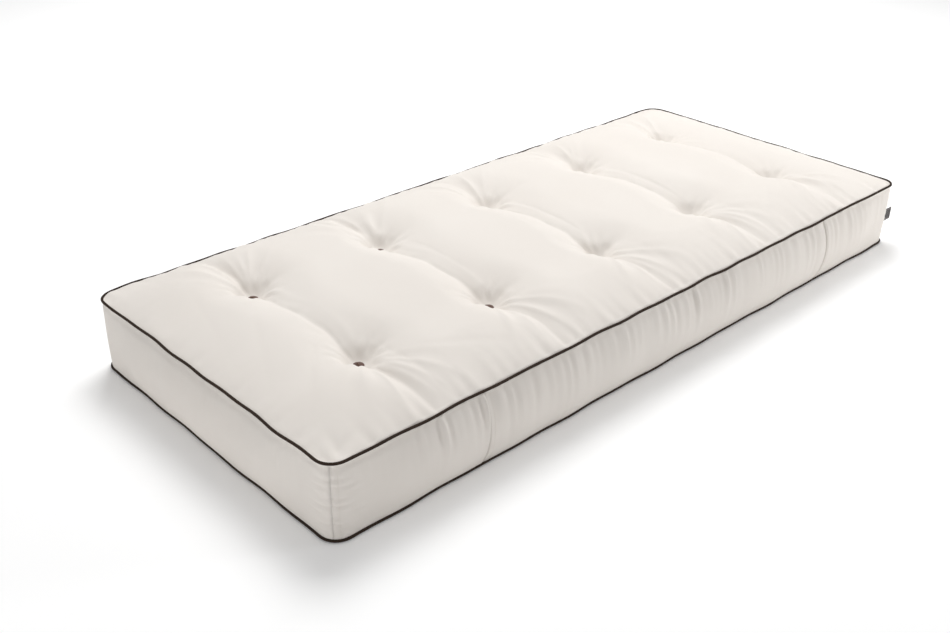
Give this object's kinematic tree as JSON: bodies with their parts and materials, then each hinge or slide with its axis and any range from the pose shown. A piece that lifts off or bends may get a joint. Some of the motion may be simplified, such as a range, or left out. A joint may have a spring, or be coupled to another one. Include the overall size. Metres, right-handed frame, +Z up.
{
  "type": "futon mattress",
  "caption": "Single tufted futon mattress with a piped cotton cover, latex bars, cotton and wool layers inside, and a sewn-in label tab.",
  "frame": {"origin": "centre of the flat underside", "axes": "+Z up, +X along the length towards the end with the label, +Y from the front long side to the back one"},
  "size_m": [2.056, 0.936, 0.2267],
  "materials": {
    "cover_cotton": "matte",
    "piping_cotton": "matte",
    "tuft_felt": "matte",
    "cotton_wadding": "matte",
    "wool_wadding": "matte",
    "latex_foam": "matte",
    "label_weave": "satin"
  },
  "bodies": {
    "mattress": {"cover_top_panel": "cover_cotton", "cover_bottom_panel": "cover_cotton", "boxing_front_strip": "cover_cotton", "boxing_back_strip": "cover_cotton", "piping_top": "piping_cotton", "piping_bottom": "piping_cotton", "tuft_front_1": "tuft_felt", "tuft_front_2": "tuft_felt", "tuft_front_3": "tuft_felt", "tuft_front_4": "tuft_felt", "tuft_front_5": "tuft_felt", "tuft_back_1": "tuft_felt", "tuft_back_2": "tuft_felt", "tuft_back_3": "tuft_felt", "tuft_back_4": "tuft_felt", "tuft_back_5": "tuft_felt", "cotton_base_and_sides": "cotton_wadding", "cotton_layer_lower": "cotton_wadding", "cotton_layer_upper": "cotton_wadding", "wool_top_layer": "wool_wadding", "latex_bar_lower_01": "latex_foam", "latex_bar_lower_02": "latex_foam", "latex_bar_lower_03": "latex_foam", "latex_bar_lower_04": "latex_foam", "latex_bar_lower_05": "latex_foam", "latex_bar_lower_06": "latex_foam", "latex_bar_lower_07": "latex_foam", "latex_bar_lower_08": "latex_foam", "latex_bar_lower_09": "latex_foam", "latex_bar_lower_10": "latex_foam", "latex_bar_lower_11": "latex_foam", "latex_bar_lower_12": "latex_foam", "latex_bar_lower_13": "latex_foam", "latex_bar_middle_01": "latex_foam", "latex_bar_middle_02": "latex_foam", "latex_bar_middle_03": "latex_foam", "latex_bar_middle_04": "latex_foam", "latex_bar_middle_05": "latex_foam", "latex_bar_middle_06": "latex_foam", "latex_bar_middle_07": "latex_foam", "latex_bar_middle_08": "latex_foam", "latex_bar_middle_09": "latex_foam", "latex_bar_middle_10": "latex_foam", "latex_bar_middle_11": "latex_foam", "latex_bar_middle_12": "latex_foam", "latex_bar_middle_13": "latex_foam", "latex_bar_upper_01": "latex_foam", "latex_bar_upper_02": "latex_foam", "latex_bar_upper_03": "latex_foam", "latex_bar_upper_04": "latex_foam", "latex_bar_upper_05": "latex_foam", "latex_bar_upper_06": "latex_foam", "latex_bar_upper_07": "latex_foam", "latex_bar_upper_08": "latex_foam", "latex_bar_upper_09": "latex_foam", "latex_bar_upper_10": "latex_foam", "latex_bar_upper_11": "latex_foam", "latex_bar_upper_12": "latex_foam", "latex_bar_upper_13": "latex_foam"},
    "label": {"label": "label_weave"}
  },
  "joints": [
    {"name": "label_swing", "type": "hinge", "parent": "mattress", "child": "label", "pos_m": [0.99058, -0.43058, 0.079], "axis": [0, 0, 1], "range_deg": [-140, 50], "stiffness_Nm_per_rad": 0.0002}
  ]
}
